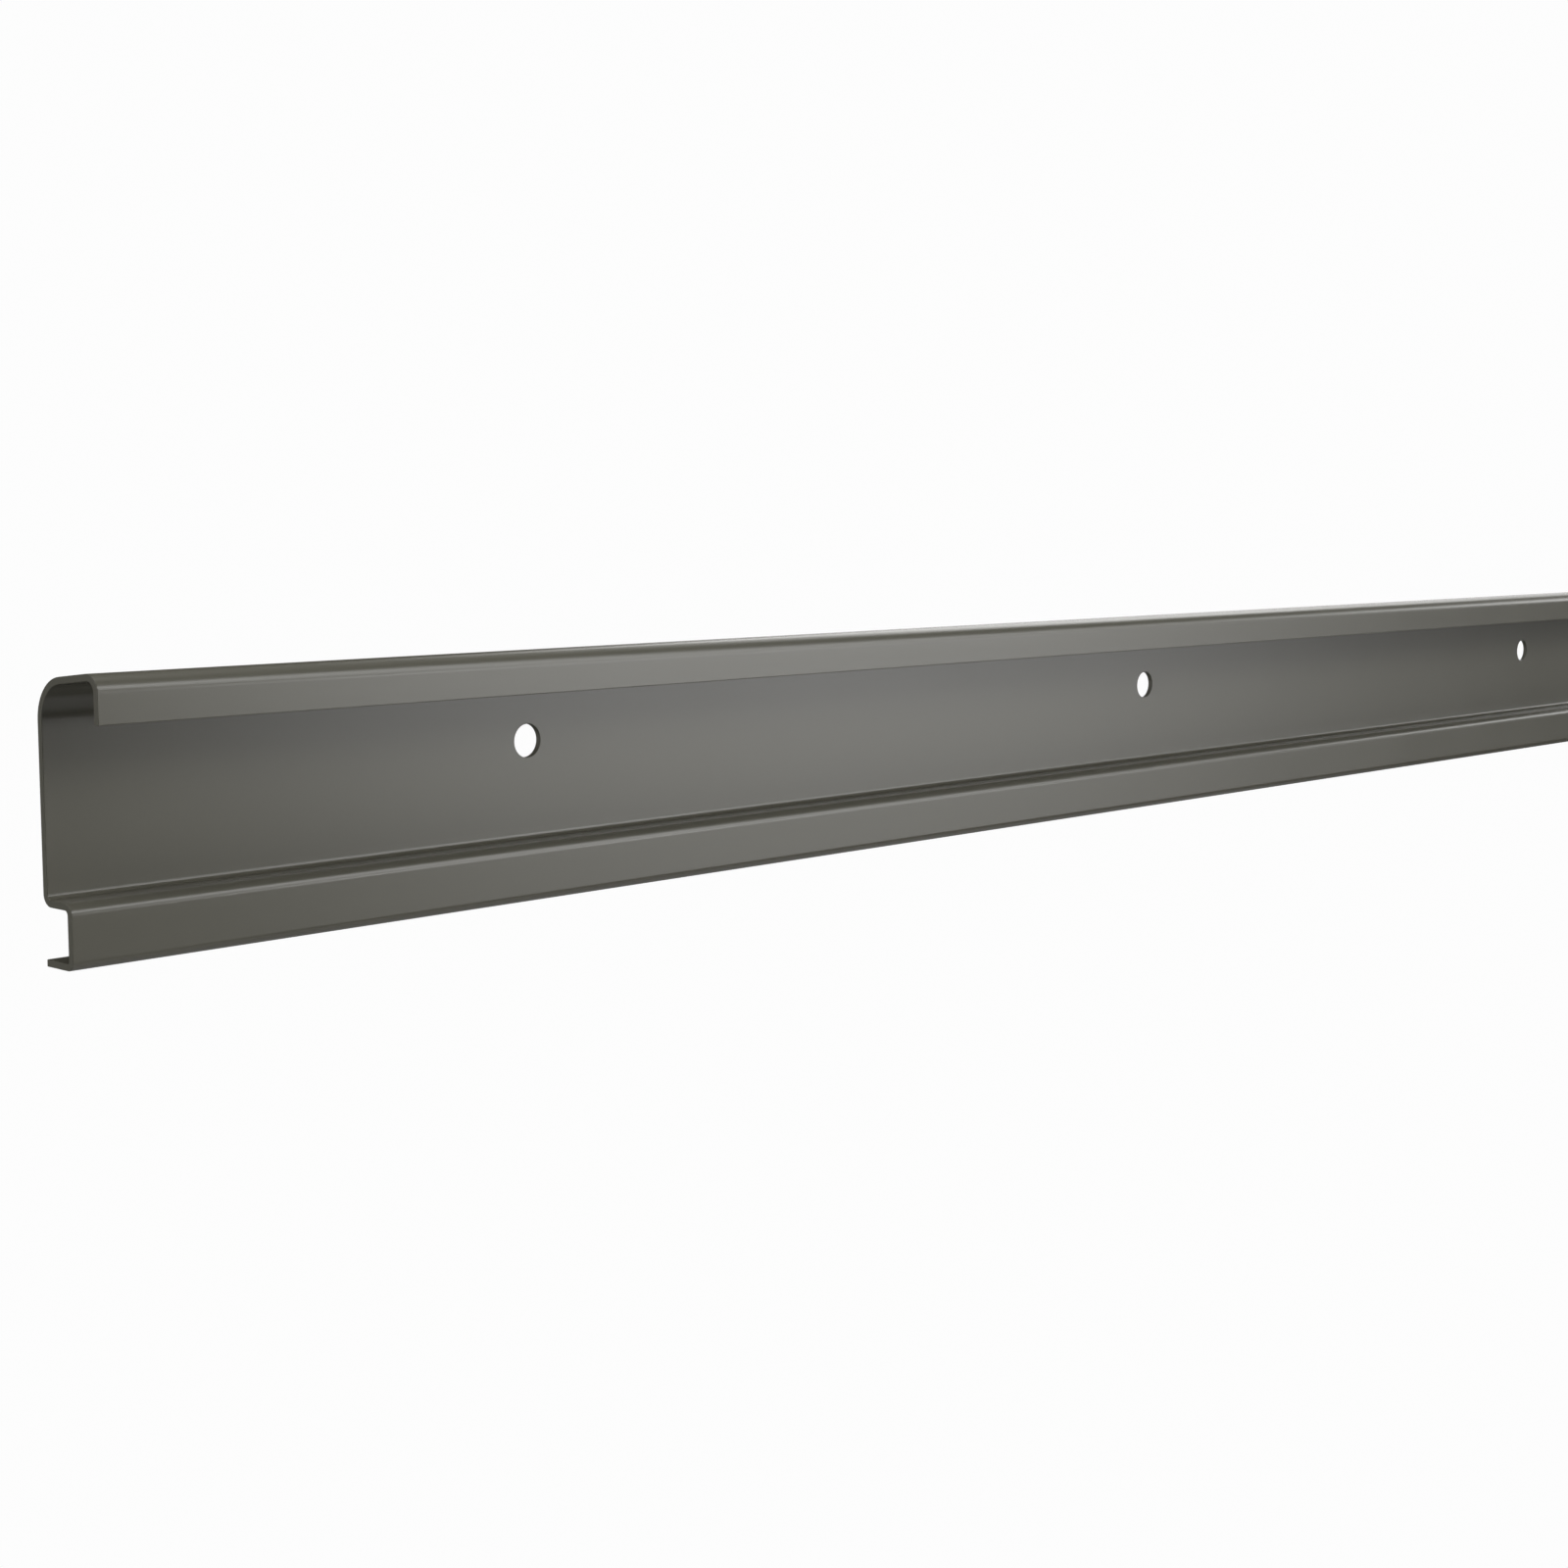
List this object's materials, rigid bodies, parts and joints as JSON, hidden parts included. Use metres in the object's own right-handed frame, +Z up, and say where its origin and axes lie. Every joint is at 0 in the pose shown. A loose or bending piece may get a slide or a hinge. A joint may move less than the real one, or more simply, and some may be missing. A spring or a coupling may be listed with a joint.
{
  "type": "hang track",
  "caption": "Roll-formed sheet-steel wall track with a screw-hole web, a standard-hanging hook lip along the top and a stepped foot along the bottom.",
  "frame": {"origin": "centre of the middle screw hole, on the wall plane (the back face of the web)", "axes": "+X along the track, +Y into the wall, +Z up"},
  "size_m": [0.6096, 0.0177, 0.0476],
  "materials": {
    "coated_steel": "satin dark warm-grey paint over sheet steel, smooth, with no visible grain"
  },
  "bodies": {
    "root": {"hang_track": "coated_steel"}
  },
  "joints": []
}
